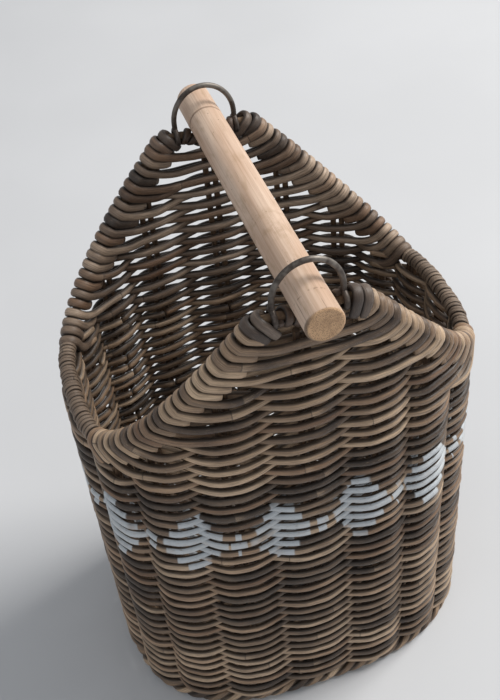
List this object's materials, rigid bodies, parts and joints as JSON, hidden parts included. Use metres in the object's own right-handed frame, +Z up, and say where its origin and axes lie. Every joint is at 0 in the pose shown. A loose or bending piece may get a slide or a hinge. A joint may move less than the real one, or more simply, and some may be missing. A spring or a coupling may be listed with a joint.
{
  "type": "rattan basket",
  "caption": "Tall woven rattan basket with gabled ends, iron hoops and a loose wooden pole handle.",
  "frame": {"origin": "middle of the basket's footprint, on the surface it stands on", "axes": "+Z up, +X along the wide front wall, +Y from the front gable to the rear gable"},
  "size_m": [0.3273, 0.296, 0.4979],
  "materials": {
    "woven_strand": "matt, weathered grey-brown split rattan",
    "stake_rattan": "matt round rattan rod",
    "lashing_strand": "matt fine rattan strand, wound tight",
    "rim_strand": "matt rattan strand turned over the rim",
    "foot_strand": "matt rattan border strands",
    "rim_rod": "matt round rattan rod",
    "forged_iron": "dark forged iron, scaled and rubbed",
    "pole_wood": "bare pale pole, lightly sanded"
  },
  "bodies": {
    "basket": {"foot_border": "foot_strand", "base_frame_rod": "rim_rod", "base_sticks": "stake_rattan", "base_weave": "woven_strand", "front_stakes": "stake_rattan", "rear_stakes": "stake_rattan", "left_stakes": "stake_rattan", "right_stakes": "stake_rattan", "corner_stakes": "stake_rattan", "body_weave": "woven_strand", "left_rim_rod": "rim_rod", "left_rim_lashing": "lashing_strand", "right_rim_rod": "rim_rod", "right_rim_lashing": "lashing_strand", "front_gable_weave": "woven_strand", "front_peak_rod": "rim_rod", "front_saddle_lashing": "lashing_strand", "front_hoop_lashings": "lashing_strand", "rear_gable_weave": "woven_strand", "rear_peak_rod": "rim_rod", "rear_saddle_lashing": "lashing_strand", "rear_hoop_lashings": "lashing_strand", "front_left_slope_rod": "rim_rod", "front_left_slope_wrap": "rim_strand", "front_right_slope_rod": "rim_rod", "front_right_slope_wrap": "rim_strand", "rear_left_slope_rod": "rim_rod", "rear_left_slope_wrap": "rim_strand", "rear_right_slope_rod": "rim_rod", "rear_right_slope_wrap": "rim_strand"},
    "front_hoop": {"front_hoop": "forged_iron"},
    "rear_hoop": {"rear_hoop": "forged_iron"},
    "handle_bar": {"handle_bar": "pole_wood"}
  },
  "joints": [
    {"name": "front_hoop_tilt", "type": "hinge", "parent": "basket", "child": "front_hoop", "pos_m": [0, -0.116, 0.4565], "axis": [1, 0, 0], "range_deg": [-12, 12]},
    {"name": "rear_hoop_tilt", "type": "hinge", "parent": "basket", "child": "rear_hoop", "pos_m": [0, 0.116, 0.4565], "axis": [1, 0, 0], "range_deg": [-12, 12]},
    {"name": "handle_lift", "type": "slide", "parent": "basket", "child": "handle_bar", "axis": [0, 0, 1], "range_m": [0, 0.01]}
  ]
}
